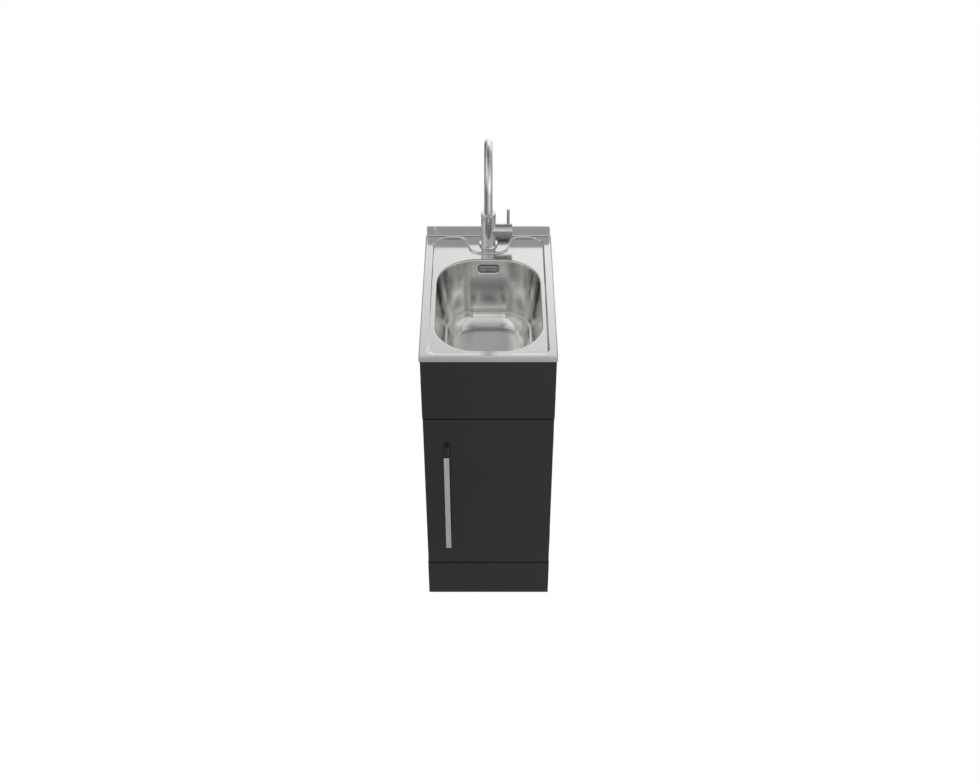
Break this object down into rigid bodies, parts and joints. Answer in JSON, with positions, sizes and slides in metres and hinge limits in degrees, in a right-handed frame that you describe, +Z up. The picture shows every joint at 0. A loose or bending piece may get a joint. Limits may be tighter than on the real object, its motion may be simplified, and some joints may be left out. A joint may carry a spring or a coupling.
{
  "type": "portable handwash sink",
  "caption": "Narrow freestanding handwash sink: dark cabinet with one door, pressed steel top with a deep bowl, side-lever swivel tap, water cans and pump inside.",
  "frame": {"origin": "on the floor, at the centre of the whole unit's plan outline, handle included", "axes": "+Z up, -Y towards the door and the user, +X to the user's right; the door hinge is on +X"},
  "size_m": [0.35, 0.5824, 1.2515],
  "materials": {
    "stainless_steel": "satin pressed stainless sheet, finely brushed",
    "tap_chrome": "polished chrome plate",
    "handle_steel": "brushed stainless bar",
    "dark_board": "near-black semi-gloss laminated board",
    "carcass_board": "black melamine faced board",
    "back_board": "thin dark grey faced board",
    "plated_steel": "zinc plated steel",
    "black_rubber": "matt black rubber",
    "black_plastic": "moulded black plastic",
    "white_plastic": "moulded white plastic",
    "can_plastic": "natural polyethylene, slightly milky",
    "grey_can_plastic": "grey polyethylene",
    "clear_grey_hose": "flexible grey hose",
    "brass_fitting": "machined brass",
    "motor_paint": "black powder coated motor can"
  },
  "bodies": {
    "cabinet": {"back_panel": "back_board", "base_shelf": "carcass_board", "bedding_strips": "black_rubber", "cabinet_screws": "plated_steel", "can_caps": "black_plastic", "cartridge": "white_plastic", "fascia_brackets": "plated_steel", "fascia_panel": "dark_board", "foot_sockets": "black_plastic", "fresh_water_can": "can_plastic", "front_rail": "carcass_board", "hinge_cabinet_leaves": "plated_steel", "hinge_pins": "plated_steel", "levelling_feet": "black_plastic", "magnetic_catch": "white_plastic", "overflow_elbow": "black_plastic", "overflow_hose": "clear_grey_hose", "overflow_plate": "stainless_steel", "plinth_clips": "black_plastic", "plinth_panel": "dark_board", "power_socket": "black_plastic", "pressure_hose": "clear_grey_hose", "pump_head": "black_plastic", "pump_lead": "black_plastic", "pump_motor": "motor_paint", "rear_rail": "carcass_board", "side_panel_left": "carcass_board", "side_panel_right": "carcass_board", "sink_bowl": "stainless_steel", "sink_deck": "stainless_steel", "spout_collar": "tap_chrome", "suction_hose": "clear_grey_hose", "tap_backnut": "brass_fitting", "tap_body": "tap_chrome", "tap_flange": "tap_chrome", "tap_tails": "clear_grey_hose", "tap_washer": "black_rubber", "tee_fitting": "brass_fitting", "trap_body": "white_plastic", "trap_cup": "white_plastic", "waste_backnut": "white_plastic", "waste_flange": "stainless_steel", "waste_gasket": "black_rubber", "waste_hose": "clear_grey_hose", "waste_water_can": "grey_can_plastic"},
    "door": {"door_panel": "dark_board", "handle_bar": "handle_steel", "handle_posts": "handle_steel", "handle_screws": "plated_steel", "catch_strike": "plated_steel", "door_bumpers": "black_rubber", "hinge_door_leaves": "plated_steel"},
    "spout": {"spout": "tap_chrome", "aerator": "tap_chrome"},
    "lever_stem": {"cartridge_stem": "brass_fitting", "lever_pivot": "plated_steel"},
    "lever": {"lever_hub": "tap_chrome", "lever_pin": "tap_chrome"},
    "basket": {"strainer_basket": "stainless_steel"}
  },
  "joints": [
    {"name": "door_hinge", "type": "hinge", "parent": "cabinet", "child": "door", "pos_m": [0.172, -0.23925, 0.4], "axis": [0, 0, 1], "range_deg": [0, 105]},
    {"name": "spout_swivel", "type": "hinge", "parent": "cabinet", "child": "spout", "pos_m": [0, 0.24625, 1], "axis": [0, 0, 1], "continuous": true},
    {"name": "lever_turn", "type": "hinge", "parent": "cabinet", "child": "lever_stem", "pos_m": [0.036, 0.24625, 0.934], "axis": [1, 0, 0], "range_deg": [-45, 45]},
    {"name": "lever_tilt", "type": "hinge", "parent": "lever_stem", "child": "lever", "pos_m": [0.036, 0.24625, 0.934], "axis": [0, 1, 0], "range_deg": [0, 20]},
    {"name": "basket_lift", "type": "slide", "parent": "cabinet", "child": "basket", "axis": [0, 0, 1], "range_m": [0, 0.15]}
  ]
}
